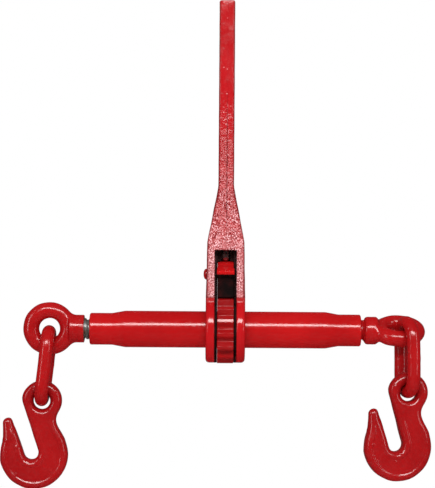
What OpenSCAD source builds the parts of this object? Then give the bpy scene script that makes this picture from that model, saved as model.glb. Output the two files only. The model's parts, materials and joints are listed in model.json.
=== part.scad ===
// Ratchet load binder with two links and two grab hooks, in millimetres.
// The barrel's axis is the X axis and its middle is the origin. +Z runs up the handle.

/* [Barrel] */
// Length of the barrel
barrel_l = 254; // [240:1:280]
// Outside diameter of the barrel's body
barrel_d = 34.2; // [33:0.1:35]
// Outside diameter of the swaged ends
end_d = 29.8; // [28:0.1:31]
// Length of each swaged end
end_l = 21; // [16:1:26]
// Length of the taper between the body and an end
swage_l = 12; // [8:1:16]

/* [Ratchet] */
// Number of teeth on the gear
gear_teeth = 15; // [15:1:15]
// Diameter over the gear's teeth
gear_d = 63.4; // [63:0.1:63.6]
// Depth of the gear's teeth
tooth_depth = 4.7; // [4.5:0.1:5]
// Face width of the gear
gear_w = 15.3; // [15.1:0.1:16.6]
// Height of the pawl's pin above the barrel's axis
pawl_z = 52; // [52:0.1:53]
// Width of the pawl
pawl_w = 15.4; // [13:0.1:15.6]

/* [Handle] */
// Height of the handle's tip above the barrel's axis
handle_top = 309; // [260:1:360]
// Width of the handle's bar
bar_w = 14.6; // [13:0.1:16]
// Depth of the handle's bar at its tip
bar_depth = 22; // [20:1:25]
// Depth of the neck above the cheeks
neck_depth = 34.4; // [32:0.1:36]
// Width over the two cheeks
fork_w = 36.8; // [35:0.1:39]
// Width of the slot between the cheeks
slot_w = 20.7; // [19.5:0.1:21.5]
// Height of the slot's top above the barrel's axis
slot_top = 75; // [74:1:78]
// Radius of the cheeks
cheek_r = 31; // [30:0.1:31.5]

/* [Eye bolts] */
// Thread diameter
thread_d = 19.9; // [18:0.1:21]
// Travel of an eye bolt in one turn of the barrel
thread_lead = 5; // [4:0.5:6]
// Thread length of each eye bolt
thread_l = 124; // [110:1:124]
// Diameter of the steel in the ring
ring_wire = 15; // [14:0.1:16]
// Diameter of the ring's hole
ring_hole = 19.5; // [18.5:0.1:20.5]
// Diameter of the boss behind the ring
boss_d = 25.6; // [24:0.1:27]
// Distance from the ring's centre to the boss's shoulder
ring_to_shoulder = 32.6; // [31:0.1:34]
// Gap between the barrel and the left shoulder
left_gap = 5.4; // [4:0.1:8]
// Gap between the barrel and the right shoulder
right_gap = 3.2; // [3.1:0.1:8]

/* [Links] */
// Diameter of the steel in a link
link_wire = 12.5; // [11.5:0.1:13]
// Outside length of a link
link_l = 76.5; // [70:0.5:84]
// Outside width of a link
link_w = 44; // [42:0.5:46]

/* [Grab hooks] */
// Thickness of a hook's eye
eye_t = 13; // [11:0.5:14]
// Thickness of a hook's bowl
bowl_t = 15.6; // [13:0.2:17]
// Width of the throat, for the edge of a chain link
throat_w = 13.7; // [12:0.1:14.5]

/* [Hidden] */

enamel = "#b8141c";
steel = "#4a4a4e";
running = 0.08;      // radial clearance of a running fit
press = 0.02;        // radial interference of a press fit
hang_gap = 0.3;      // gap left where one piece hangs on another
cut = 1;             // how far a cutter runs past a face

// Ratchet geometry
tooth_pitch = 360 / gear_teeth;
gear_r = gear_d / 2;
root_r = gear_r - tooth_depth;
guide_w = gear_w + 0.6;     // the slot's width between the guides that keep the gear and the pawl in the middle
guide_r = 24;               // the guides fill a circle round the barrel and a strip up the middle of the fork
guide_depth = 16;
web_front = -3.2;           // the web above the pawl runs from here back, and closes the plunger's hole behind
web_back = 6.2;
pin_r = 4.1;
pin_head_r = 5.2;
pin_head_h = 2.9;
crown_r = 12;
crown_half_angle = 44;
crown_gap = 0.6;
claw_angle = 31.5;
claw_reach = 25.1;
claw_half_width = 2.25;     // degrees, seen from the pin
tab_nose = [21.5, 2.5];

// Plunger, its bore and its spring, all on the handle's centre line
plunger_r = 4.75;
plunger_z = pawl_z + crown_r + hang_gap;
plunger_shoulder = plunger_z + 33;
stem_r = 2.1;
stem_l = 12;
bore_top = plunger_z + 54;
spring_r = 3.5;
spring_wire = 1.2;
spring_turns = 7;
spring_end_gap = 0.05;

// Eye bolts, links and hooks
bore_r = thread_d / 2 + running;
ring_r = (ring_hole + ring_wire) / 2;
thread_depth = 1.5;
left_ring_x = -(barrel_l / 2 + left_gap + ring_to_shoulder);
right_ring_x = barrel_l / 2 + right_gap + ring_to_shoulder;
wrap = (ring_wire + link_wire) / 2 + hang_gap;    // between the centres of two crossed wires
link_r = (link_w - link_wire) / 2;                // centre line of a link's end bends
link_reach = link_l - link_wire;                  // between the centre lines of a link's two ends
eye_r = 18.8;
eye_hole_r = 8;
eye_edge_r = 4.5;
hook_drop = eye_hole_r - link_wire / 2 - 0.75;    // a hook's eye centre below the bar that it hangs on
throat_lean = 19;
throat_seat = [-9.6, -48.35];
bowl_centre = [-7.05, -51];
bowl_r = 31.7;
beak_tip = [-31.2, -21];
beak_tip_r = 4.8;

// The left ring faces along Y, and its link leans outwards a little, in line with the ring's centre
left_link_lean = 5.7;
left_hang = [-sin(left_link_lean), 0, -cos(left_link_lean)];
left_link_top = [left_ring_x, 0, 0] + (ring_r - wrap) * left_hang;
left_bar = left_link_top + link_reach * left_hang;

// The right ring is turned about the barrel's axis, and its link hangs a little loosely on the near side of it
right_bolt_turn = -68;
right_link_yaw = 15.8;
right_link_lean = 1.5;
right_hook_yaw = 10;
right_hook_lean = 3;
right_link_seat = [6, -14.33, 8.24];              // the middle of its top bend, from the ring's centre
right_link_top = [right_ring_x, 0, 0] + right_link_seat;
right_hang = [sin(right_link_lean) * cos(right_link_yaw), sin(right_link_lean) * sin(right_link_yaw),
    -cos(right_link_lean)];
right_bar = right_link_top + link_reach * right_hang;

smooth = 96;

// A point at a radius and an angle from straight down, towards +x
function from_down(r, a) = [r * sin(a), -r * cos(a)];

// An outline's right side followed by its mirror image, so that the two close up into one polygon
function both_sides(side) = concat(side, [for (i = [len(side) - 1 : -1 : 0]) [-side[i][0], side[i][1]]]);

// Points along an arc about a centre, between two angles
function arc(centre, r, from, to, steps) =
    [for (i = [0 : steps]) let (a = from + (to - from) * i / steps) centre + r * [cos(a), sin(a)]];

// An easing curve from 0 to 1
function ease(t) = (1 - cos(180 * t)) / 2;

// Stands a flat outline up in the YZ plane, with its thickness along X
module side_plate(thickness) {
    rotate([90, 0, 90]) linear_extrude(thickness, center = true) children();
}

// Stands a flat outline up in the XZ plane, with its thickness along Y
module front_plate(thickness) {
    rotate([90, 0, 0]) linear_extrude(thickness, center = true) children();
}

// Turns a flat outline, given as [distance along X, radius], round the X axis
module turned_on_x() {
    rotate([0, 90, 0]) rotate_extrude($fn = smooth) rotate(90) mirror([0, 1]) children();
}

module both_halves() {
    children();
    mirror([1, 0]) children();
}

module barrel() {
    half = barrel_l / 2;
    steps = 8;
    rim = 1.6;
    relief_r = bore_r + 1.4;
    relief_l = half - end_l - swage_l - 8;
    swage = [for (i = [0 : steps]) [half - end_l - swage_l * (1 - i / steps),
        barrel_d / 2 - (barrel_d - end_d) / 2 * ease(i / steps)]];
    outline = concat([[0, relief_r], [0, barrel_d / 2]], swage,
        [[half - rim, end_d / 2], [half - 0.5, end_d / 2 - 0.5], [half, end_d / 2 - rim],
            [half, bore_r + 1.2], [half - 1.2, bore_r], [relief_l + 2, bore_r], [relief_l, relief_r]]);
    color(enamel) for (side = [0, 1]) mirror([side, 0, 0]) turned_on_x() polygon(outline);
}

// One pitch of the gear's outline: half the root, a flank, the tip and the other flank
function tooth(k) = [for (p = [[root_r, -10], [gear_r - 0.5, -2.6], [gear_r, -1.8],
    [gear_r, 1.8], [gear_r - 0.5, 2.6], [root_r, 10]])
    p[0] * [sin(k * tooth_pitch + p[1]), cos(k * tooth_pitch + p[1])]];

module ratchet_gear() {
    color(enamel) side_plate(gear_w) difference() {
        polygon([for (k = [0 : gear_teeth - 1]) each tooth(k)]);
        circle(barrel_d / 2 - press, $fn = smooth);
    }
}

// One side of the pawl's outline: half the crown, a thumb tab, the body and a claw
pawl_side = concat(arc([0, 0], crown_r, 90, 90 - crown_half_angle, 10),
    [tab_nose + [-2, 1.4], tab_nose, tab_nose + [-0.7, -2.1], [14.2, -3.5], [13, -7], [13, -15],
        from_down(claw_reach, claw_angle + claw_half_width),
        from_down(claw_reach, claw_angle - claw_half_width), [5.6, -16.4]]);

module pawl() {
    color(enamel) translate([0, 0, pawl_z]) side_plate(pawl_w) difference() {
        polygon(both_sides(pawl_side));
        circle(pin_r + running, $fn = smooth);
    }
}

module pawl_pin() {
    left_face = -fork_w / 2 + 0.6;
    right_face = fork_w / 2 - 0.8;
    cap_r = (pin_head_r * pin_head_r + pin_head_h * pin_head_h) / (2 * pin_head_h);
    color(enamel) translate([0, 0, pawl_z]) turned_on_x() {
        translate([left_face, 0]) square([right_face - left_face, pin_r]);
        intersection() {
            translate([left_face + cap_r - pin_head_h, 0]) circle(cap_r, $fn = smooth);
            translate([left_face - pin_head_h - cut, 0]) square([pin_head_h + cut, pin_head_r + cut]);
        }
    }
}

// The handle seen from the side, in [Y, Z]
module handle_side() {
    blend_r = 7;
    half_neck = neck_depth / 2;
    blend_y = half_neck + blend_r;
    blend_z = sqrt((cheek_r + blend_r) * (cheek_r + blend_r) - blend_y * blend_y);
    circle(cheek_r, $fn = smooth);
    both_halves() difference() {
        polygon([[-cut, 0], blend_y * cheek_r / (cheek_r + blend_r) * [1, blend_z / blend_y],
            [blend_y, blend_z], [half_neck, blend_z], [half_neck, slot_top],
            [bar_depth / 2 + 1.6, slot_top + 62], [bar_depth / 2, handle_top], [-cut, handle_top]]);
        translate([blend_y, blend_z]) circle(blend_r, $fn = smooth);
    }
}

// The handle seen from the front, in [X, Z]
module handle_front() {
    corner = 2.4;
    tip = 2;
    half_bar = bar_w / 2;
    half_fork = fork_w / 2;
    polygon(both_sides(concat(arc([half_bar - tip, handle_top - tip], tip, 90, 0, 4),
        [[half_bar, slot_top + 60], [half_fork - 1.1, slot_top + 8], [half_fork - 0.9, slot_top],
            [half_fork - 0.6, pawl_z], [half_fork, cheek_r]],
        arc([half_fork - corner, corner - cheek_r], corner, 0, -90, 4))));
}

// A straight slot through the fork from front to back, open at the bottom
module straight_slot(width) {
    long = 2 * neck_depth;
    translate([-width / 2, -long / 2, -cheek_r - cut]) cube([width, long, slot_top + cheek_r + cut]);
}

// The fork's slot: narrower between the guides, and closed by a web round the plunger, above the pawl's crown
module fork_slot() {
    side_l = slot_w + 2 * cut;
    difference() {
        union() {
            difference() {
                straight_slot(slot_w);
                side_plate(side_l) circle(guide_r, $fn = smooth);
                translate([-side_l / 2, -guide_depth / 2, -cheek_r - 2 * cut])
                    cube([side_l, guide_depth, cheek_r + slot_top + 3 * cut]);
            }
            straight_slot(guide_w);
        }
        translate([0, 0, pawl_z]) side_plate(side_l) difference() {
            translate([web_front, 0]) square([web_back - web_front, slot_top - pawl_z + cut]);
            circle(crown_r + crown_gap, $fn = smooth);
        }
    }
}

module handle() {
    color(enamel) difference() {
        intersection() {
            side_plate(fork_w + 2 * cut) handle_side();
            front_plate(2 * neck_depth) handle_front();
        }
        fork_slot();
        side_plate(fork_w + 2 * cut) circle(barrel_d / 2 + running, $fn = smooth);
        translate([0, 0, pawl_z]) side_plate(fork_w + 2 * cut) circle(pin_r - press, $fn = smooth);
        translate([0, 0, pawl_z]) cylinder(h = bore_top - pawl_z, r = plunger_r + running, $fn = smooth);
    }
}

module detent_plunger() {
    color(steel) rotate_extrude($fn = smooth) {
        intersection() {
            translate([0, plunger_z + plunger_r]) circle(plunger_r, $fn = smooth);
            translate([0, plunger_z]) square(plunger_r);
        }
        translate([0, plunger_z + plunger_r]) square([plunger_r, plunger_shoulder - plunger_z - plunger_r]);
        translate([0, plunger_shoulder - cut]) square([stem_r, stem_l + cut]);
    }
}

// A round wire swept along a helix
module detent_spring() {
    sides = 8;
    rings = spring_turns * 14;
    low = plunger_shoulder + spring_end_gap + spring_wire / 2;
    high = bore_top - spring_end_gap - spring_wire / 2;
    points = [for (i = [0 : rings], s = [0 : sides - 1])
        let (turn = 360 * spring_turns * i / rings, round = 360 * s / sides,
            r = spring_r + spring_wire / 2 * cos(round))
        [r * cos(turn), r * sin(turn), low + (high - low) * i / rings + spring_wire / 2 * sin(round)]];
    walls = [for (i = [0 : rings - 1], s = [0 : sides - 1])
        let (a = i * sides, t = (s + 1) % sides) [a + s, a + sides + s, a + sides + t, a + t]];
    start_cap = [for (s = [0 : sides - 1]) s];
    end_cap = [for (s = [sides - 1 : -1 : 0]) rings * sides + s];
    color(steel) polyhedron(points, concat([start_cap, end_cap], walls));
}

// Ring, boss and threaded shank, with the ring's centre at the origin and the shank along +X
module eye_bolt() {
    shank_r = thread_d / 2;
    tip_x = ring_to_shoulder + thread_l;
    grooves = floor((thread_l - 4) / thread_lead);
    shank = [for (i = [0 : grooves - 1], p = [[0, 0], [0.25, -thread_depth], [0.5, -thread_depth], [0.75, 0]])
        [ring_to_shoulder + 1 + (i + p[0]) * thread_lead, shank_r + p[1]]];
    color(enamel) union() {
        rotate([90, 0, 0]) rotate_extrude($fn = smooth) translate([ring_r, 0]) circle(ring_wire / 2, $fn = 48);
        turned_on_x() polygon(concat([[ring_r - 3, 0], [ring_r - 3, 7], [ring_r + 1.4, boss_d / 2 - 1.4],
            [ring_r + 3.2, boss_d / 2], [ring_to_shoulder - 1.8, boss_d / 2],
            [ring_to_shoulder, boss_d / 2 - 1.8], [ring_to_shoulder, shank_r]], shank,
            [[tip_x - 1.8, shank_r], [tip_x, shank_r - 1.8], [tip_x, 0]]));
    }
}

module left_eye_bolt() {
    translate([left_ring_x, 0, 0]) eye_bolt();
}

module right_eye_bolt() {
    translate([right_ring_x, 0, 0]) rotate([right_bolt_turn, 0, 0]) mirror([1, 0, 0]) eye_bolt();
}

// A link in the YZ plane, hanging down from the centre of its top bend's wire
module link() {
    leg = link_reach - 2 * link_r;
    color(enamel) translate([0, 0, -link_r]) union() {
        for (end = [0, 1]) translate([0, 0, -end * leg]) rotate([90, 180 * end, 90])
            rotate_extrude(angle = 180, $fn = smooth) translate([link_r, 0]) circle(link_wire / 2, $fn = 48);
        for (side = [-1, 1]) translate([0, side * link_r, -leg])
            cylinder(h = leg, r = link_wire / 2, $fn = 48);
    }
}

module left_link() {
    translate(left_link_top) rotate([0, left_link_lean, 0]) link();
}

module right_link() {
    translate(right_link_top) rotate([0, -right_link_lean, right_link_yaw]) link();
}

// The throat's cutter: a slot with a round seat, open at the top
module throat() {
    translate(throat_seat) rotate(throat_lean) {
        circle(throat_w / 2, $fn = smooth);
        translate([-throat_w / 2, 0]) square([throat_w, 60]);
    }
}

// The hook's bowl, shank and beak seen from the front, in [X, Z] from the eye's centre
module hook_outline() {
    difference() {
        union() {
            translate(bowl_centre) circle(bowl_r, $fn = smooth);
            polygon([[-16, -6], [9, -8], [12.2, -17], [15.2, -25], [24, -43], bowl_centre]);
            polygon([bowl_centre, bowl_centre + [-bowl_r, 2], beak_tip + [-beak_tip_r, 0.8],
                beak_tip + [beak_tip_r, 0.6], [-16, -48]]);
            translate(beak_tip) circle(beak_tip_r, $fn = smooth);
        }
        throat();
    }
}

// The eye's cross-section, a rectangle with rounded edges, as [radius, thickness]
module eye_section() {
    inner = eye_hole_r + eye_edge_r;
    outer = eye_r - eye_edge_r;
    flat = eye_t / 2 - eye_edge_r;
    for (r = [inner, outer], y = [-flat, flat]) translate([r, y]) circle(eye_edge_r, $fn = 48);
    translate([inner, -eye_t / 2]) square([outer - inner, eye_t]);
    translate([eye_hole_r, -flat]) square([eye_r - eye_hole_r, 2 * flat]);
}

// A grab hook with its eye's centre at the origin and its throat open to -X
module grab_hook() {
    color(enamel) union() {
        rotate([90, 0, 0]) rotate_extrude($fn = smooth) eye_section();
        difference() {
            front_plate(bowl_t) hook_outline();
            rotate([90, 0, 0]) cylinder(h = bowl_t + 2 * cut, r = eye_r - eye_edge_r, center = true, $fn = smooth);
        }
    }
}

module left_grab_hook() {
    translate(left_bar - [0, 0, hook_drop]) grab_hook();
}

module right_grab_hook() {
    translate(right_bar - [0, 0, hook_drop]) rotate([0, 0, right_hook_yaw]) rotate([0, right_hook_lean, 0])
        grab_hook();
}

handle();
barrel();
ratchet_gear();
pawl();
pawl_pin();
detent_plunger();
detent_spring();
left_eye_bolt();
right_eye_bolt();
left_link();
right_link();
left_grab_hook();
right_grab_hook();
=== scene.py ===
"""The looks of a ratchet load binder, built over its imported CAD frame.

Shapes are in millimetres until they are placed. Lengths in materials, lights and the camera are in metres.
"""

import json
import math

import bpy
import numpy as np
from mathutils import Matrix, Vector


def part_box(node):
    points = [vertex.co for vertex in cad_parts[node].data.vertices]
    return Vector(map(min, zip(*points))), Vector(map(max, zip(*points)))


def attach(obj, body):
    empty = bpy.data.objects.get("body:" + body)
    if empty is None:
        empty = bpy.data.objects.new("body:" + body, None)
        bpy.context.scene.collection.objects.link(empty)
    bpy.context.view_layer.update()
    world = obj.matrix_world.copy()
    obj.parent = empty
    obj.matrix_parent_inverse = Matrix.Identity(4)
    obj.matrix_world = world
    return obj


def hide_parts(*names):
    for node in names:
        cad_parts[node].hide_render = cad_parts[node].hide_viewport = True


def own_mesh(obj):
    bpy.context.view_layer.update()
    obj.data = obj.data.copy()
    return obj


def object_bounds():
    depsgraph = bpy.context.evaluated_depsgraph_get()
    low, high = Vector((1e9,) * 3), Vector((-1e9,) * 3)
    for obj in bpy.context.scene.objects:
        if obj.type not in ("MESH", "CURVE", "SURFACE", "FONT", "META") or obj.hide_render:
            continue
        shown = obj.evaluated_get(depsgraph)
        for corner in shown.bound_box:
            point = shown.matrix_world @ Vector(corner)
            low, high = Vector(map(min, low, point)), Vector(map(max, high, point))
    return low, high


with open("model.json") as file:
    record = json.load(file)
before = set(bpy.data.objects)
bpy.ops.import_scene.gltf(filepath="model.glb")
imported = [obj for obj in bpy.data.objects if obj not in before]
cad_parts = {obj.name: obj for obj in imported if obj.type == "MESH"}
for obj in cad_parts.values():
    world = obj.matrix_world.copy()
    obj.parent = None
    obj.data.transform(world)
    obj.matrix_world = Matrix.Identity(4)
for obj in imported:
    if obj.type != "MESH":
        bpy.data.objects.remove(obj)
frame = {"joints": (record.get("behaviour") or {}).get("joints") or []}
cad_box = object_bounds()

MM = 0.001
JOINTS = {j["name"]: j for j in frame["joints"]}

# Sizes shared by several pieces, as in the CAD source. Clearances are added where they are needed.
RING_R, RING_WIRE = 17.25, 7.5
SHOULDER, THREAD_L, THREAD_R, LEAD = 32.6, 124.0, 9.95, 5.0
LINK_BEND, LINK_REACH, LINK_WIRE = 15.75, 64.0, 6.25
BARREL_R, PIN_R, PLUNGER_R = 17.1, 4.1, 4.75
CHEEK_R, CROWN_R = 31, 12
HANDLE_TOP, SLOT_TOP = 309, 75
PAWL_Z = JOINTS["pawl_rock"]["pos_m"][2] / MM


# ---------------------------------------------------------------- distance fields

def soft_min(a, b, k):
    """The union of two distance fields, with a fillet of about k."""
    h = np.clip(0.5 + 0.5 * (b - a) / k, 0, 1)
    return b + (a - b) * h - k * h * (1 - h)


def soft_max(a, b, k):
    """The overlap of two distance fields, with an edge rounded to about k."""
    return -soft_min(-a, -b, k)


def ramp(v, start, end):
    """A smooth step from 0 at start to 1 at end."""
    t = np.clip((v - start) / (end - start), 0, 1)
    return t * t * (3 - 2 * t)


def outline_distance(u, v, points):
    """The signed distance to a closed outline, negative inside."""
    nearest = np.full(np.shape(u), 1e9)
    inside = np.zeros(np.shape(u), bool)
    for (u0, v0), (u1, v1) in zip(points, points[1:] + points[:1]):
        du, dv = u1 - u0, v1 - v0
        t = np.clip(((u - u0) * du + (v - v0) * dv) / (du * du + dv * dv), 0, 1)
        nearest = np.minimum(nearest, (u - u0 - t * du) ** 2 + (v - v0 - t * dv) ** 2)
        if dv:
            inside ^= ((v0 <= v) != (v1 <= v)) & (u < u0 + (v - v0) * du / dv)
    return np.where(inside, -1, 1) * np.sqrt(nearest)


def tapered(u, v, start, end):
    """The signed distance to a bar with round ends, from one (u, v, radius) to another."""
    du, dv = end[0] - start[0], end[1] - start[1]
    t = np.clip(((u - start[0]) * du + (v - start[1]) * dv) / (du * du + dv * dv), 0, 1)
    return np.hypot(u - start[0] - t * du, v - start[1] - t * dv) - start[2] - t * (end[2] - start[2])


def plate(flat, across, half, edge):
    """A plate with rounded edges, from its outline's distance field and the distance from its middle."""
    a, b = flat + edge, np.abs(across) - half + edge
    return np.minimum(np.maximum(a, b), 0) + np.hypot(np.maximum(a, 0), np.maximum(b, 0)) - edge


def unevenness(x, y, z, size):
    """The slow waviness of a forged or cast skin, of up to that size."""
    waves = np.sin(0.23 * x + 1.3) * np.sin(0.29 * z + 0.4) + np.sin(0.31 * y + 0.17 * z) * np.sin(0.37 * x)
    return size * waves / 2


def skin(field, low, high, cell):
    """Points and quads of the surface where a distance field is zero, by surface nets."""
    axes = [np.arange(a, b + cell, cell) for a, b in zip(low, high)]
    inside = field(*np.meshgrid(*axes, indexing="ij")) < 0
    n = [s - 1 for s in inside.shape]
    filled = sum(inside[i:i + n[0], j:j + n[1], k:k + n[2]].astype(int)
                 for i in (0, 1) for j in (0, 1) for k in (0, 1))
    mixed = (filled > 0) & (filled < 8)
    index = np.full(n, -1)
    index[mixed] = np.arange(mixed.sum())
    points = np.argwhere(mixed) * cell + np.array(low) + cell / 2
    unit = np.eye(3, dtype=int)
    faces = []
    for a in range(3):
        b, c = (a + 1) % 3, (a + 2) % 3
        change = np.diff(inside.astype(np.int8), axis=a) != 0
        at = np.argwhere(change)
        at = at[(at[:, b] > 0) & (at[:, c] > 0) & (at[:, b] < n[b]) & (at[:, c] < n[c])]
        quad = np.stack([index[tuple((at - step).T)]
                         for step in (0 * unit[b], unit[b], unit[b] + unit[c], unit[c])], 1)
        outward = inside[tuple(at.T)]
        faces.append(np.where(outward[:, None], quad, quad[:, ::-1]))
    return settled(field, points), np.concatenate(faces)


def settled(field, points, steps=5, h=0.04):
    """Points moved onto the surface where the field is zero."""
    for _ in range(steps):
        slope = np.stack([(field(*(points + e).T) - field(*(points - e).T)) / (2 * h)
                          for e in h * np.eye(3)], 1)
        push = field(*points.T) / np.maximum((slope ** 2).sum(1), 0.25)
        points = points - slope * np.clip(push, -0.6, 0.6)[:, None]
    return points


# ---------------------------------------------------------------- meshes

def rounded(corners, steps=5):
    """A closed outline of (u, v, radius) corners as points, with each corner rounded to its radius."""
    out = []
    for i, (u, v, r) in enumerate(corners):
        here = np.array([u, v])
        back = np.array(corners[i - 1][:2]) - here
        on = np.array(corners[(i + 1) % len(corners)][:2]) - here
        back, on = back / np.linalg.norm(back), on / np.linalg.norm(on)
        half = math.acos(np.clip(back @ on, -1, 1)) / 2
        if r <= 0 or half > 1.55:
            out.append((u, v))
            continue
        middle = here + (back + on) / np.linalg.norm(back + on) * r / math.sin(half)
        start, end = here + back * r / math.tan(half) - middle, here + on * r / math.tan(half) - middle
        for t in np.linspace(0, 1, steps + 1):
            way = start * (1 - t) + end * t
            out.append(tuple(middle + way / np.linalg.norm(way) * r))
    return out


def mirrored(corners):
    """The other half of an outline given by its right-hand corners, in the order that closes it."""
    return [(-u, v, r) for u, v, r in corners[::-1]]


def turned(profile, sides=128):
    """A closed outline of (distance along X, radius) points turned round the X axis. A radius of 0 closes an
    end."""
    angle = np.linspace(0, 2 * math.pi, sides, endpoint=False)
    profile = np.array(profile)
    points = np.stack([np.repeat(profile[:, 0], sides), np.outer(profile[:, 1], np.sin(angle)).ravel(),
                       np.outer(profile[:, 1], np.cos(angle)).ravel()], 1)
    return points, rings(len(profile), sides, closed=True)


def rings(count, sides, closed=False):
    """The quads between rings of points."""
    i, s = np.meshgrid(np.arange(count if closed else count - 1), np.arange(sides), indexing="ij")
    j, t = (i + 1) % count, (s + 1) % sides
    return np.stack([i * sides + s, i * sides + t, j * sides + t, j * sides + s], -1).reshape(-1, 4)


def tube(path, radius, sides=32, closed=True):
    """A round bar along a path, whose radius may differ from point to point."""
    path = np.array(path, float)
    along = np.roll(path, -1, 0) - np.roll(path, 1, 0)
    if not closed:
        along[0], along[-1] = path[1] - path[0], path[-1] - path[-2]
    along /= np.linalg.norm(along, axis=1)[:, None]
    side = np.zeros_like(path)
    side[0] = np.cross(along[0], [0.9, 0.3, 0.2])
    for i in range(len(path)):
        side[i] = side[i - 1] if i else side[0]
        side[i] -= along[i] * (side[i] @ along[i])
        side[i] /= np.linalg.norm(side[i])
    up = np.cross(along, side)
    angle = np.linspace(0, 2 * math.pi, sides, endpoint=False)
    radius = np.broadcast_to(radius, len(path))[:, None, None]
    ring = side[:, None] * np.cos(angle)[None, :, None] + up[:, None] * np.sin(angle)[None, :, None]
    points = (path[:, None] + radius * ring).reshape(-1, 3)
    return points, rings(len(path), sides, closed)


def piece(name, made, body, material, stands_for, place=None, sharp=None):
    """A named piece from points in millimetres and faces, put in place and riding on a body."""
    points, faces = made
    points = np.asarray(points, float) * MM
    if place is not None:
        points = points @ place[:3, :3].T + place[:3, 3]
    mesh = bpy.data.meshes.new(name)
    mesh.from_pydata(points.tolist(), [], [list(map(int, f)) for f in faces])
    mesh.validate()
    mesh.polygons.foreach_set("use_smooth", [True] * len(mesh.polygons))
    if sharp:
        mesh.set_sharp_from_angle(angle=math.radians(sharp))
    mesh.materials.append(material)
    obj = bpy.data.objects.new(name, mesh)
    bpy.context.scene.collection.objects.link(obj)
    if stands_for:
        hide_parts(stands_for)
    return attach(obj, body)


def placed(origin_m, *turns):
    """A placement: turns of (degrees, axis) in the order they are applied, then the move to the origin."""
    m = Matrix.Identity(4)
    for degrees, axis in turns:
        m = Matrix.Rotation(math.radians(degrees), 4, axis) @ m
    return np.array(Matrix.Translation(origin_m) @ m)


# ---------------------------------------------------------------- materials

def add(tree, kind, inputs=(), **settings):
    """A shader node with its inputs set or linked, given as {name or number: value or socket}."""
    node = tree.nodes.new("ShaderNode" + kind)
    for key, value in settings.items():
        setattr(node, key, value)
    for key, value in dict(inputs).items():
        if isinstance(value, bpy.types.NodeSocket):
            tree.links.new(value, node.inputs[key])
        else:
            node.inputs[key].default_value = value
    return node


def math_node(tree, operation, *values):
    """The result of one sum on numbers or sockets."""
    return add(tree, "Math", dict(enumerate(values)), operation=operation).outputs[0]


def stretch(tree, value, low, high, to_low=0.0, to_high=1.0):
    """The value eased from one range into another."""
    return add(tree, "MapRange", {0: value, 1: low, 2: high, 3: to_low, 4: to_high},
               interpolation_type="SMOOTHSTEP").outputs[0]


def product(tree, first, *others):
    """The numbers or sockets multiplied together."""
    for other in others:
        first = math_node(tree, "MULTIPLY", first, other)
    return first


def greatest(tree, first, *others):
    """The greatest of the numbers or sockets."""
    for other in others:
        first = math_node(tree, "MAXIMUM", first, other)
    return first


def absolute(tree, value):
    """The value without its sign."""
    return math_node(tree, "ABSOLUTE", value)


def noise(tree, where, scale, detail=3.0, rough=0.5):
    """Smooth noise around one half, with that many features to a metre."""
    sockets = {"Vector": where, "Scale": scale, "Detail": detail, "Roughness": rough}
    return add(tree, "TexNoise", sockets).outputs[0]


def blend_colour(tree, share, a, b):
    """Colour a, turning into b with the share."""
    return add(tree, "Mix", {0: share, 6: a, 7: b}, data_type="RGBA").outputs[2]


def bumped(tree, height, size, normal=None):
    """A bump of that height in metres, over an earlier one."""
    links = {"Height": height, "Distance": size, "Strength": 1.0}
    if normal is not None:
        links["Normal"] = normal
    return add(tree, "Bump", links).outputs[0]


def shader(name, **sockets):
    """A material with its Principled shader's own sockets set, its tree, that shader and the object
    coordinates."""
    material = bpy.data.materials.new(name)
    material.use_nodes = True
    tree = material.node_tree
    principled = tree.nodes["Principled BSDF"]
    for key, value in sockets.items():
        principled.inputs[key.replace("_", " ")].default_value = value
    return material, tree, principled, add(tree, "TexCoord").outputs["Object"]


def droplets(tree, where, scale, share, radius):
    """Small round runs and drops of paint, in that share of the cells."""
    cells = add(tree, "TexVoronoi", {"Vector": where, "Scale": scale, "Randomness": 1.0})
    lot = add(tree, "SeparateColor", {0: cells.outputs["Color"]}).outputs[0]
    chosen = math_node(tree, "LESS_THAN", lot, share)
    return product(tree, stretch(tree, cells.outputs["Distance"], 0.0, radius, 1.0, 0.0), chosen)


def drifting(tree, where, scale, deep, pale):
    """A colour that drifts slowly between two others."""
    return blend_colour(tree, stretch(tree, noise(tree, where, scale), 0.3, 0.7), deep, pale)


def red_enamel(name, peel, drops, gloss, depth=1.0):
    """Red gloss enamel, with orange peel of that height and drops in that share of cells. A depth below 1
    darkens the colour into a copy of the same enamel as painted shade."""
    material, tree, principled, where = shader(name, IOR=1.52)
    # A depth below 1 darkens the same enamel as painted shade.
    colour = drifting(tree, where, 22.0, (0.35 * depth, 0.0035, 0.0045, 1), (0.42 * depth, 0.005, 0.006, 1))
    thin = stretch(tree, noise(tree, where, 900.0, 2.0), 0.62, 0.8)
    colour = blend_colour(tree, product(tree, thin, 0.35), colour, THIN_PAINT)
    tree.links.new(colour, principled.inputs["Base Color"])
    rough = stretch(tree, noise(tree, where, 350.0, 4.0), 0.3, 0.75, gloss, gloss + 0.12)
    tree.links.new(rough, principled.inputs["Roughness"])
    normal = bumped(tree, noise(tree, where, 160.0, 2.0), peel)
    normal = bumped(tree, noise(tree, where, 520.0), peel * 0.25, normal)
    if drops:
        normal = bumped(tree, droplets(tree, where, 190.0, drops, 0.42), 0.0005, normal)
    tree.links.new(normal, principled.inputs["Normal"])
    return material


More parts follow.
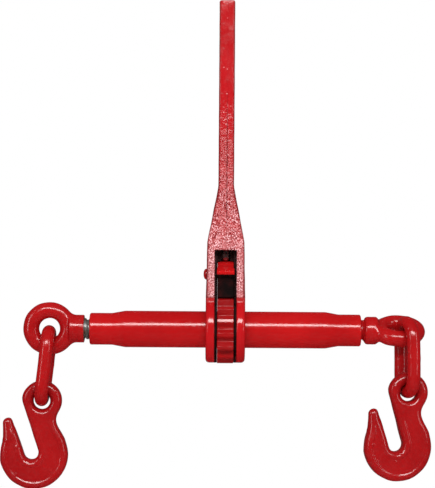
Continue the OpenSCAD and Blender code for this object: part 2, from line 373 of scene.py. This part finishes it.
def shaded_enamel(name):
    """The pawl's enamel: bright red on its crown and its thumb tabs, and painted shade in near black below
    them.
    """
    material, tree, principled, where = shader(name, IOR=1.35, Specular_IOR_Level=0.25)
    height = add(tree, "SeparateXYZ", {0: where}).outputs[2]
    wave = product(tree, noise(tree, where, 300.0), 0.0006)
    # Below the tabs' underside the colour turns to painted shade.
    below = stretch(tree, math_node(tree, "ADD", height, wave), 0.0521, 0.0527, 1.0, 0.0)
    colour = blend_colour(tree, noise(tree, where, 60.0), (0.4, 0.005, 0.006, 1), (0.5, 0.008, 0.009, 1))
    # Painted shade in two near-black tones that drift into each other.
    shade_colour = blend_colour(tree, stretch(tree, noise(tree, where, 90.0), 0.4, 0.6), SHADE_DARK, SHADE_DARKEST)
    tree.links.new(blend_colour(tree, below, colour, shade_colour), principled.inputs["Base Color"])
    tree.links.new(stretch(tree, below, 0.0, 1.0, 0.12, 0.95), principled.inputs["Roughness"])
    normal = bumped(tree, noise(tree, where, 200.0, 2.0), 0.00008)
    tree.links.new(bumped(tree, noise(tree, where, 700.0), 0.00003, normal), principled.inputs["Normal"])
    return material


def parting_line(tree, where, across, height):
    """A thin, broken line a little right of the handle's middle, from above the slot to the smooth bar."""
    right, thin, wide = 0.0006, 0.0001, 0.0007
    beside = absolute(tree, math_node(tree, "SUBTRACT", across, right))
    reach = product(tree, stretch(tree, height, 0.085, 0.11), stretch(tree, height, 0.17, 0.24, 1.0, 0.2))
    unbroken = stretch(tree, noise(tree, where, 180.0, 2.0), 0.3, 0.5)
    return product(tree, stretch(tree, beside, thin, wide, 1.0, 0.0), reach, unbroken)


def cast_pale(tree, where, height, cast, rough, clustered, pits, from_edge):
    """Where the cast skin is painted pale: painted sheen in specks that thin out up the handle and in a band
    beside the slot, and a few flecks of painted glint, all of them away from the edges."""
    fewer_above = stretch(tree, height, 0.19, 0.09, 0.15, 1.0)
    specks = product(tree, stretch(tree, pits, 0.46, 0.66), clustered, fewer_above)
    sheen_band = product(tree, rough, stretch(tree, height, 0.1, 0.06, 0.0, 0.2))
    fewer_outside = stretch(tree, from_edge, 0.0004, 0.0024, 0.15, 1.0)
    sheen = product(tree, math_node(tree, "ADD", sheen_band, specks), fewer_outside)
    inside = stretch(tree, from_edge, 0.0025, 0.0045)
    flecks = product(tree, droplets(tree, where, 330.0, 0.08, 0.3), cast, inside)
    return greatest(tree, sheen, flecks)


def cast_dark(tree, deep, cast, rough, pits, seam, from_edge):
    """Where the cast skin is dark: painted shade in its pits and at its front and back corners, and the
    parting line.
    """
    # The darkening in the pits is painted shade.
    pitted = product(tree, stretch(tree, pits, 0.36, 0.5, 1.0, 0.0), rough, 0.7)
    front = stretch(tree, absolute(tree, deep), 0.006, 0.0105)
    # The darker corners by the front and back faces are painted shade.
    corner = product(tree, stretch(tree, from_edge, 0.0002, 0.002, 0.6, 0.0), cast, front)
    return greatest(tree, pitted, product(tree, seam, 0.75), corner)


def cast_enamel(name):
    """Red enamel over rough cast steel: a parting line up the middle, smooth round the machined head, painted
    shade inside the slot, painted sheen and glints on the cast skin, and painted shade in its pits and at its
    corners. Each pair of metres below is where a smooth step starts and ends, or its two ends' half widths."""
    head_top, bar, flare, half_widths = (0.0298, 0.0318), (0.13, 0.22), (0.08, 0.136), (0.0176, 0.0073)
    slot_side, slot_top = (0.0098, 0.0106), (0.0742, 0.0752)
    step_start, step_end = (0.0245, 0.0265), (0.03, 0.04)
    material, tree, principled, where = shader(name, IOR=1.52)
    across, deep, height = add(tree, "SeparateXYZ", {0: where}).outputs
    off_middle = absolute(tree, across)
    from_edge = math_node(tree, "SUBTRACT", stretch(tree, height, *flare, *half_widths), off_middle)
    cast = stretch(tree, height, *head_top)
    rough = product(tree, cast, stretch(tree, height, *bar, 1.0, 0.14))
    clustered = product(tree, rough, stretch(tree, noise(tree, where, 110.0, 2.0), 0.36, 0.6, 0.45, 1.2))
    pits = noise(tree, where, 820.0, rough=0.6)
    seam = parting_line(tree, where, across, height)
    slot = product(tree, stretch(tree, off_middle, *slot_side, 1.0, 0.0),
                   stretch(tree, height, *slot_top, 1.0, 0.0))

    colour = drifting(tree, where, 24.0, (0.37, 0.004, 0.006, 1), (0.44, 0.006, 0.009, 1))
    # Pale specks, a band and flecks of painted sheen and glints.
    pale = cast_pale(tree, where, height, cast, rough, clustered, pits, from_edge)
    colour = blend_colour(tree, pale, colour, SHEEN_PINK)
    # Painted shade in the pits and at the corners, and the parting line.
    colour = blend_colour(tree, cast_dark(tree, deep, cast, rough, pits, seam, from_edge), colour, SHADE_AND_SEAM_RED)
    # Inside the slot the colour is painted shade.
    tree.links.new(blend_colour(tree, slot, colour, SHADE_DARK), principled.inputs["Base Color"])

    step = product(tree, stretch(tree, height, *step_start), stretch(tree, height, *step_end, 0.3, 0.0))
    gloss = greatest(tree, stretch(tree, rough, 0.0, 1.0, 0.13, 0.3), slot, step)
    tree.links.new(gloss, principled.inputs["Roughness"])

    grain = add(tree, "TexVoronoi", {"Vector": where, "Scale": 640.0, "Randomness": 1.0}).outputs["Distance"]
    normal = bumped(tree, noise(tree, where, 170.0, 2.0), 0.00006)
    normal = bumped(tree, product(tree, math_node(tree, "ADD", pits, grain), clustered), 0.0008, normal)
    tree.links.new(bumped(tree, seam, -0.0004, normal), principled.inputs["Normal"])
    return material


def dark_steel(name, clean, stained, metallic=0.6):
    """Oiled steel, with fine turning marks and a little brown."""
    material, tree, principled, where = shader(name, Metallic=metallic)
    stain = stretch(tree, noise(tree, where, 130.0, 4.0), 0.45, 0.75)
    tree.links.new(blend_colour(tree, stain, clean, stained), principled.inputs["Base Color"])
    rough = stretch(tree, noise(tree, where, 400.0, 4.0), 0.3, 0.7, 0.22, 0.45)
    tree.links.new(rough, principled.inputs["Roughness"])
    turned_about_x = add(tree, "Mapping", {0: where, 3: (30.0, 1.0, 1.0)}).outputs[0]
    marks = add(tree, "TexNoise", {"Vector": turned_about_x, "Scale": 90.0, "Detail": 2.0}).outputs[0]
    tree.links.new(bumped(tree, marks, 0.00003), principled.inputs["Normal"])
    return material


THIN_PAINT = (0.2, 0.003, 0.004, 1)
# Pink-white for painted sheen and glints on the cast handle.
SHEEN_PINK = (0.92, 0.5, 0.52, 1)
# Dark red for painted shade in the pits and at the corners, and for the parting line.
SHADE_AND_SEAM_RED = (0.1, 0.0015, 0.002, 1)
# Near-black painted shade, for the pawl below its tabs and inside the handle's slot.
SHADE_DARK = (0.018, 0.0012, 0.0012, 1)
SHADE_DARKEST = (0.004, 0.001, 0.001, 1)

TURNED = red_enamel("enamel_turned", peel=0.00002, drops=0.0, gloss=0.1)
# The gear, the forged parts and the hooks get darker copies of the same enamel, as painted shade.
GEAR_RED_SHADED = red_enamel("enamel_gear_shaded", peel=0.00002, drops=0.0, gloss=0.1, depth=0.74)
FORGED = red_enamel("enamel_forged_shaded", peel=0.00016, drops=0.1, gloss=0.12, depth=0.87)
HOOK_RED_SHADED = red_enamel("enamel_hook_shaded", peel=0.0002, drops=0.14, gloss=0.12, depth=0.76)
SHADED = shaded_enamel("enamel_shaded")
CAST = cast_enamel("enamel_cast")
STEEL = dark_steel("steel_thread", (0.22, 0.22, 0.21, 1), (0.15, 0.11, 0.08, 1))
BRIGHT = dark_steel("steel_bright", (0.42, 0.41, 0.4, 1), (0.25, 0.2, 0.16, 1), metallic=1.0)
OILED = dark_steel("steel_oiled", (0.02, 0.019, 0.018, 1), (0.03, 0.014, 0.01, 1))


# ---------------------------------------------------------------- handle, gear and pawl

def handle_field(x, y, z):
    """The cast handle: a bar that flares into a neck and forks into two cheeks bored round the barrel."""
    from_barrel, from_pin = np.hypot(y, z), np.hypot(y, z - PAWL_Z)
    half_side = [(17.2, SLOT_TOP, 20), (12.8, 137, 40), (11, HANDLE_TOP, 0)]
    side = outline_distance(y, z, rounded([(-17.2, 0, 0), (17.2, 0, 0)] + half_side + mirrored(half_side)))
    side = soft_min(from_barrel - CHEEK_R, side, 2)
    half_front = [(18.4, -40, 0), (18.4, CHEEK_R, 0), (17.8, PAWL_Z, 0), (17.4, 82, 9), (7.3, 134, 25),
                  (7.3, HANDLE_TOP, 2.2)]
    front = outline_distance(x, z, rounded(half_front + mirrored(half_front)))
    edge = 4.0 - 1.0 * ramp(z, 26, 60)
    body = soft_max(side, front, edge) + unevenness(x, y, z, 0.18) * ramp(z, 30, 50)
    body = soft_max(body, -fork_slot(x, y, z), 0.8)
    barrel_hole, pin_hole = BARREL_R + 0.08 - from_barrel, PIN_R - 0.02 - from_pin
    plunger_hole = np.maximum(np.hypot(x, y) - PLUNGER_R - 0.08, np.abs(z - 91) - 27.3)
    return np.maximum(np.maximum(np.maximum(body, barrel_hole), pin_hole), -plunger_hole)


def fork_slot(x, y, z):
    """The slot for the gear and the pawl, narrowed by guides front and back, with a web above the crown."""
    guides = np.minimum(np.hypot(y, z) - 24, np.abs(y) - 8)
    wide = np.maximum(np.abs(x) - 10.35, -guides)
    narrow = np.abs(x) - 7.73
    slot = soft_max(np.minimum(narrow, wide), z - SLOT_TOP, 1.5)
    above_crown = np.maximum(CROWN_R + 0.6 - np.hypot(y, z - PAWL_Z), PAWL_Z - z)
    web = np.maximum(np.abs(y - 1.5) - 4.7, above_crown)
    return np.maximum(slot, -web)


def gear_outline():
    """Fifteen narrow-topped teeth, with one straight up."""
    teeth, root, tip = 15, 26.9, 31.65
    tooth = [(root, -9.4, 0.8), (tip, -2.9, 0.3), (tip, 2.9, 0.3), (root, 9.4, 0.8)]
    corners = []
    for k in range(teeth):
        for radius, degrees, corner in tooth:
            a = math.radians(360 / teeth * k + degrees)
            corners.append((radius * math.sin(a), radius * math.cos(a), corner))
    return rounded(corners, 4)


def gear():
    """The toothed ring with chamfered sides, bored for the barrel, as a loft of six loops of points."""
    full = np.array(gear_outline())
    along = np.roll(full, -1, 0) - np.roll(full, 1, 0)
    outward = np.stack([-along[:, 1], along[:, 0]], 1) / np.linalg.norm(along, axis=1)[:, None]
    half, chamfer = 7.65, 0.4
    inset = full - chamfer * outward
    bore = full / np.linalg.norm(full, axis=1)[:, None] * (BARREL_R - 0.02)
    right_side = [(half - chamfer, full), (half, inset), (half, bore)]
    loops = [(-x, loop) for x, loop in right_side[::-1]] + right_side
    points = np.concatenate([np.insert(loop, 0, x, axis=1) for x, loop in loops])
    return points, rings(len(loops), len(full), closed=True)


def pawl():
    """The two-way pawl: a round crown, a thumb tab on each side, and two short claws."""
    tab = [(8.34, 8.63, 0), (19.6, 4.1, 1.5), (21.6, 3.6, 0.8), (21.3, 1.2, 1.1), (20.4, 0.2, 0.8)]
    claw = [(14.2, -3.4, 1.5), (13, -7, 2), (12.8, -15, 1.5), (14, -20.8, 0.6), (12.3, -21.9, 0.6),
            (5.6, -16.4, 3)]
    crown = [(CROWN_R * math.cos(a), CROWN_R * math.sin(a), 0) for a in np.radians(np.linspace(90, 46, 9))]
    half = crown[:-1] + tab + claw
    outline = rounded(half + mirrored(half)[:-1])

    def field(x, y, z):
        v = z - PAWL_Z
        notch = soft_max(np.abs(x) - 0.9, 20.6 - np.abs(y), 0.6)
        on_tab = ramp(np.abs(y), 13.5, 15.5) * ramp(v, -5, -3)
        shape = plate(outline_distance(y, v, outline), x, 7.66 + 0.46 * on_tab, 0.7)
        return np.maximum(soft_max(shape, -notch, 0.5), PIN_R + 0.08 - np.hypot(y, v))
    return skin(field, (-8.6, -22.4, 28.8), (8.6, 22.4, 64.8), cell=0.5)


def rivet():
    """The pawl's pin, with a hammered dome on the left and its other end flush."""
    face, height, radius, end = -17.8, 2.9, 5.2, 17.6
    arc = np.linspace(0, math.pi / 2, 14)
    dome = [(face - height * math.cos(a), max(radius * math.sin(a) ** 0.8, 0)) for a in arc]
    return turned(dome + [(face, PIN_R), (end - 0.4, PIN_R), (end, PIN_R - 0.4), (end, 0)], 64)


def plunger():
    """The detent plunger: a round nose, a shoulder, a neck, a plain body, and the stem inside its spring."""
    low, high = (v[2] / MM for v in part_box("detent_plunger"))
    quarter = np.linspace(0, math.pi / 2, 16)
    nose = [(low + PLUNGER_R * (1 - math.cos(a)), PLUNGER_R * math.sin(a)) for a in quarter]
    neck_r, stem_r, corner = 3.55, 2.1, PLUNGER_R - 3.55
    shoulder = [(low + 6.2 + corner * math.sin(a), neck_r + corner * math.cos(a))
                for a in np.linspace(0, math.pi / 2, 8)]
    neck = [(low + 9.2, neck_r), (low + 10.4, PLUNGER_R)]
    stem = [(high - 12.6, PLUNGER_R), (high - 12, PLUNGER_R - 0.55), (high - 12, stem_r),
            (high - 0.5, stem_r), (high, stem_r - 0.5), (high, 0)]
    points, faces = turned(nose + shoulder + neck + stem, 64)
    return points[:, [1, 2, 0]], faces


def spring():
    """The plunger's coil spring, inside the handle."""
    low, high = (v[2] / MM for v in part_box("detent_spring"))
    turns, coil_r, wire, sides = 7, 3.5, 0.6, 12
    turn = np.linspace(0, turns, turns * 28 + 1)
    climb = low + wire + (high - low - 2 * wire) * (turn / turns)
    path = np.stack([coil_r * np.cos(2 * math.pi * turn), coil_r * np.sin(2 * math.pi * turn), climb], 1)
    points, faces = tube(path, wire, sides, closed=False)
    last = len(points) - sides
    return points, faces.tolist() + [list(range(sides)), list(range(last + sides - 1, last - 1, -1))]


handle_skin = skin(handle_field, (-19.5, -33, -33), (19.5, 33, 311), cell=0.8)
rivet_place = placed((0, 0, PAWL_Z * MM))

piece("handle_casting", handle_skin, "handle", CAST, "handle")
piece("gear_ring", gear(), "barrel", GEAR_RED_SHADED, "ratchet_gear", sharp=35)
piece("pawl_forging", pawl(), "pawl", SHADED, "pawl")
piece("pawl_rivet", rivet(), "handle", FORGED, "pawl_pin", rivet_place, sharp=50)
piece("plunger_nose", plunger(), "detent_plunger", BRIGHT, "detent_plunger", sharp=40)
coil = piece("plunger_spring", spring(), "handle", OILED, "detent_spring", sharp=60)
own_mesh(coil)


# ---------------------------------------------------------------- barrel, eye bolts, links and hooks

def barrel():
    """The tube, drawn down to a smaller end at each side, with soft rims."""
    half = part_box("barrel")[1][0] / MM
    end_r, bore_r = 14.9, 10.03
    side = [(half, 10.6, 0.7), (half, end_r, 1.5), (half - 21, end_r, 14), (half - 33, BARREL_R, 14)]
    outer = rounded([(-u, r, c) for u, r, c in side] + [(u, r, c) for u, r, c in side[::-1]]
                    + [(half - 1, bore_r, 0.4), (1 - half, bore_r, 0.4)], 8)
    return turned(outer, 160)


def eye(shoulder):
    """The forged ring and the boss that it runs into, whose shoulder is rounded to a radius. The ring is
    centred on the origin and the boss points along +X."""
    def field(x, y, z):
        ring = np.hypot(np.hypot(x, z) - RING_R, y) - RING_WIRE
        boss = plate(np.hypot(y, z) - 13.0, x - 25.8, 6.8, shoulder)
        return soft_min(ring, boss, 4.0) + unevenness(x, y, z, 0.2) * ramp(x, 27, 21)
    return skin(field, (-26, -14, -26), (34, 14, 26), cell=0.62)


def shank(hand):
    """The threaded shank from the shoulder on: flat-topped turns on a helix of that hand, then a chamfer."""
    sides, turns, chamfer = 64, int(THREAD_L / LEAD), 2.2
    profile = [(0.0, 0.0), (0.3, 0.0), (0.38, -0.25), (0.5, -1.3),
               (0.56, -1.5), (0.8, -1.5), (0.86, -1.3), (0.96, -0.25)]
    u = np.array([t + p for t in range(-1, turns + 1) for p, _ in profile])
    depth = np.array([d for _ in range(-1, turns + 1) for _, d in profile])
    angle = np.arange(sides) / sides
    x = SHOULDER + LEAD * (u[:, None] + angle[None])
    start, end = SHOULDER - 0.3, SHOULDER + THREAD_L
    fade = ramp(x, SHOULDER + 0.2, SHOULDER + 1.6)
    r = THREAD_R + depth[:, None] * fade
    r = np.minimum(r, THREAD_R - chamfer + np.clip(end - x, 0, chamfer))
    x = np.clip(x, start, end)
    swing = 2 * math.pi * angle[None] * hand
    points = np.stack([x, r * np.sin(swing), r * np.cos(swing)], -1).reshape(-1, 3)
    faces = rings(len(u), sides)
    # the seam joins a ring's last point to the ring one turn on
    faces = faces[(faces % sides).max(1) - (faces % sides).min(1) < 2]
    step = len(profile) * sides
    i = np.arange(len(u) - len(profile) - 1)[:, None] * sides
    seam = np.concatenate([i + sides - 1, i + step, i + step + sides, i + 2 * sides - 1], 1)
    cap = len(points)
    points = np.concatenate([points, [[end, 0, 0]]])
    last = (len(u) - 1) * sides
    tip = [[last + s, cap, last + (s + 1) % sides] for s in range(sides)]
    made = np.concatenate([faces, seam]).tolist() + tip
    return points, made if hand < 0 else [f[::-1] for f in made]


def link(weld):
    """A link of round bar in the YZ plane, hung by the middle of its top bend, with a low weld on one leg."""
    leg = (LINK_REACH - 2 * LINK_BEND) / 2
    a = np.linspace(0, math.pi, 40)
    top = np.stack([0 * a, LINK_BEND * np.cos(a), leg + LINK_BEND * np.sin(a)], 1)
    down = np.linspace(leg, -leg, 34)[1:-1]
    left = np.stack([0 * down, 0 * down - LINK_BEND, down], 1)
    path = np.concatenate([top, left, -top, -left])
    weld_at = np.hypot(path[:, 1] - weld * LINK_BEND, path[:, 2])
    radius = LINK_WIRE + 0.14 * np.exp(-(weld_at / 2.2) ** 2) - 0.06 * np.exp(-((weld_at - 5) / 2) ** 2)
    path[:, 0] += 0.25 * np.sin(path[:, 2] * 0.09 + 1)
    path[:, 2] -= leg + LINK_BEND
    return tube(path, radius, 40)


def hook_field(x, y, z):
    """A forged grab hook, its eye's centre at the origin, open at the upper left and dished in its middle."""
    from_eye = np.hypot(x, z)
    corners = [(-16.5, -5), (9, -8), (12.4, -17), (15, -25), (19.6, -36), (19, -48), (-7, -51)]
    back = outline_distance(x, z, corners)
    bowl = np.hypot(x + 7.05, z + 51) - 31.7
    beak = np.minimum(tapered(x, z, (-31.4, -21.4, 5.2), (-28.8, -36, 7.6)),
                      tapered(x, z, (-28.8, -36, 7.6), (-23.5, -51, 14.8)))
    outer = soft_min(soft_min(bowl, back, 5), beak, 3)
    outer = soft_min(outer, from_eye - 18.8, 7)
    flat = soft_max(outer, -throat(x, z), 1.5)
    low = ramp(z, -16, -32)
    dish = ramp(-flat, 5.2, 7.4) * ramp(z, -22, -30)
    beak_taper = ramp(z, -50, -20) * ramp(x, -18, -27)
    half = 6.5 + 1.3 * low - 0.75 * dish - 2.2 * beak_taper
    edge = np.minimum(5.4, half - 0.1)
    solid = plate(soft_max(flat, 7.85 - from_eye, 0.5), y, half, edge)
    return solid + unevenness(x, y, z, 0.2) * ramp(from_eye, 12, 20)


def throat(x, z):
    """The leaning slot with a round seat, a little wider at its mouth."""
    seat_x, seat_z, seat_r, lean = -9.6, -48.35, 6.85, math.radians(19)
    along = -(x - seat_x) * math.sin(lean) + (z - seat_z) * math.cos(lean)
    across = (x - seat_x) * math.cos(lean) + (z - seat_z) * math.sin(lean)
    width = seat_r + 0.35 * ramp(along, 4, 30)
    return np.where(along > 0, np.abs(across) - width, np.hypot(along, across) - seat_r)


def pivot(joint):
    """A joint's place, in metres."""
    return Vector(JOINTS[joint]["pos_m"])


HOOK = skin(hook_field, (-41, -9, -85), (27, 9, 20.5), cell=0.62)

# How the two sides hang, in degrees, as in the CAD source
LEFT_LINK_LEAN = 5.7
RIGHT_RING_TURN, RIGHT_LINK_LEAN, RIGHT_LINK_YAW, RIGHT_HOOK_LEAN, RIGHT_HOOK_YAW = -68, 1.5, 15.8, 3, 10
LEFT_WRAP, RIGHT_SEAT = 14.05, (6, -14.33, 8.24)

left_ring = Vector((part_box("left_eye_bolt")[0][0] + (RING_R + RING_WIRE) * MM, 0, 0))
right_ring = Vector((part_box("right_eye_bolt")[1][0] - (RING_R + RING_WIRE) * MM, 0, 0))
left_place = placed(left_ring)
right_place = placed(right_ring, (180, "Z"), (RIGHT_RING_TURN, "X"))
lean = math.radians(LEFT_LINK_LEAN)
hang = Vector((-math.sin(lean), 0, -math.cos(lean)))
left_link_place = placed(left_ring + hang * (RING_R - LEFT_WRAP) * MM, (LEFT_LINK_LEAN, "Y"))
right_link_place = placed(right_ring + Vector(RIGHT_SEAT) * MM,
                          (-RIGHT_LINK_LEAN, "Y"), (RIGHT_LINK_YAW, "Z"))
left_hook_place = placed(pivot("left_hook_swing"))
right_hook_place = placed(pivot("right_hook_swing"), (RIGHT_HOOK_LEAN, "Y"), (RIGHT_HOOK_YAW, "Z"))

piece("barrel_tube", barrel(), "barrel", TURNED, "barrel", sharp=50)
piece("left_eye", eye(shoulder=0.8), "left_eye_bolt", FORGED, "left_eye_bolt", left_place)
piece("left_thread", shank(hand=-1), "left_eye_bolt", STEEL, None, left_place, sharp=35)
piece("right_eye", eye(shoulder=3.6), "right_eye_bolt", FORGED, "right_eye_bolt", right_place)
piece("right_thread", shank(hand=1), "right_eye_bolt", FORGED, None, right_place, sharp=35)
piece("left_link_bar", link(weld=1), "left_link", FORGED, "left_link", left_link_place)
piece("right_link_bar", link(weld=-1), "right_link", FORGED, "right_link", right_link_place)
piece("left_hook", HOOK, "left_grab_hook", HOOK_RED_SHADED, "left_grab_hook", left_hook_place)
piece("right_hook", HOOK, "right_grab_hook", HOOK_RED_SHADED, "right_grab_hook", right_hook_place)


# ---------------------------------------------------------------- floor, light and camera

def floor():
    """A plain pale disc below the hooks."""
    radius, below, sides = 1.3, 0.3, 96
    mesh = bpy.data.meshes.new("floor")
    around = [(radius * math.cos(a), radius * math.sin(a), cad_box[0][2] - below)
              for a in np.linspace(0, 2 * math.pi, sides, endpoint=False)]
    mesh.from_pydata(around, [], [list(range(sides))])
    material, tree, principled, where = shader("pale_floor", Roughness=0.8)
    tree.links.new(blend_colour(tree, noise(tree, where, 6.0), (0.86, 0.86, 0.86, 1), (0.9, 0.9, 0.9, 1)),
                   principled.inputs["Base Color"])
    mesh.materials.append(material)
    obj = bpy.data.objects.new("floor", mesh)
    obj.visible_glossy = False
    bpy.context.scene.collection.objects.link(obj)


def softbox(name, azimuth, elevation, distance, width, height, radiance, matt=True, glossy=True):
    """A rectangular light facing the object, for matt surfaces, glossy ones or both. Azimuth 0 is in front."""
    aim = (0, 0, 0.05)
    light = bpy.data.lights.new(name, "AREA")
    light.shape, light.size, light.size_y = "RECTANGLE", width, height
    light.energy = radiance * math.pi * width * height
    obj = bpy.data.objects.new(name, light)
    a, e = math.radians(azimuth), math.radians(elevation)
    out = Vector((math.sin(a) * math.cos(e), -math.cos(a) * math.cos(e), math.sin(e)))
    obj.location = Vector(aim) + out * distance
    obj.rotation_euler = (-out).to_track_quat("-Z", "Y").to_euler()
    obj.visible_camera, obj.visible_diffuse, obj.visible_glossy = False, matt, glossy
    bpy.context.scene.collection.objects.link(obj)


def studio():
    """White all round for the camera, soft light for matt surfaces, and a dark room with a dim far wall to
    reflect."""
    world = bpy.data.worlds.new("studio")
    world.use_nodes = True
    bpy.context.scene.world = world
    tree = world.node_tree
    ray = add(tree, "LightPath").outputs
    way = add(tree, "SeparateXYZ", {0: add(tree, "TexCoord").outputs["Generated"]}).outputs
    wall = stretch(tree, way[1], 0.72, 0.97)
    seen = blend_colour(tree, wall, (0.02, 0.02, 0.02, 1), (0.06, 0.06, 0.06, 1))
    soft = blend_colour(tree, stretch(tree, way[2], -1.0, 1.0), (0.4, 0.4, 0.4, 1), (0.74, 0.74, 0.74, 1))
    lit = blend_colour(tree, ray["Is Glossy Ray"], soft, seen)
    final = blend_colour(tree, ray["Is Camera Ray"], lit, (1.0, 1.0, 1.0, 1))
    tree.links.new(final, tree.nodes["Background"].inputs[0])


def camera():
    """A long lens level with the middle of the handle's neck, a little left of the handle."""
    data = bpy.data.cameras.new("camera")
    data.lens, data.clip_end = 125.6, 20
    obj = bpy.data.objects.new("camera", data)
    obj.location = (-0.0078, -1.6, 0.0804)
    obj.rotation_euler = (math.radians(90), math.radians(-0.4), 0)
    bpy.context.scene.collection.objects.link(obj)
    bpy.context.scene.camera = obj


floor()
studio()
softbox("key", azimuth=0, elevation=33, distance=2.4, width=2.4, height=0.5, radiance=14.5)
for side, azimuth in (("left", -55), ("right", 55)):
    softbox(side + "_strip", azimuth, elevation=12, distance=1.8, width=0.16, height=1.2, radiance=8,
            matt=False)
softbox("back_fill", azimuth=180, elevation=40, distance=2.4, width=1.6, height=0.8, radiance=4,
        glossy=False)
camera()
bpy.context.scene.view_settings.view_transform = "Standard"
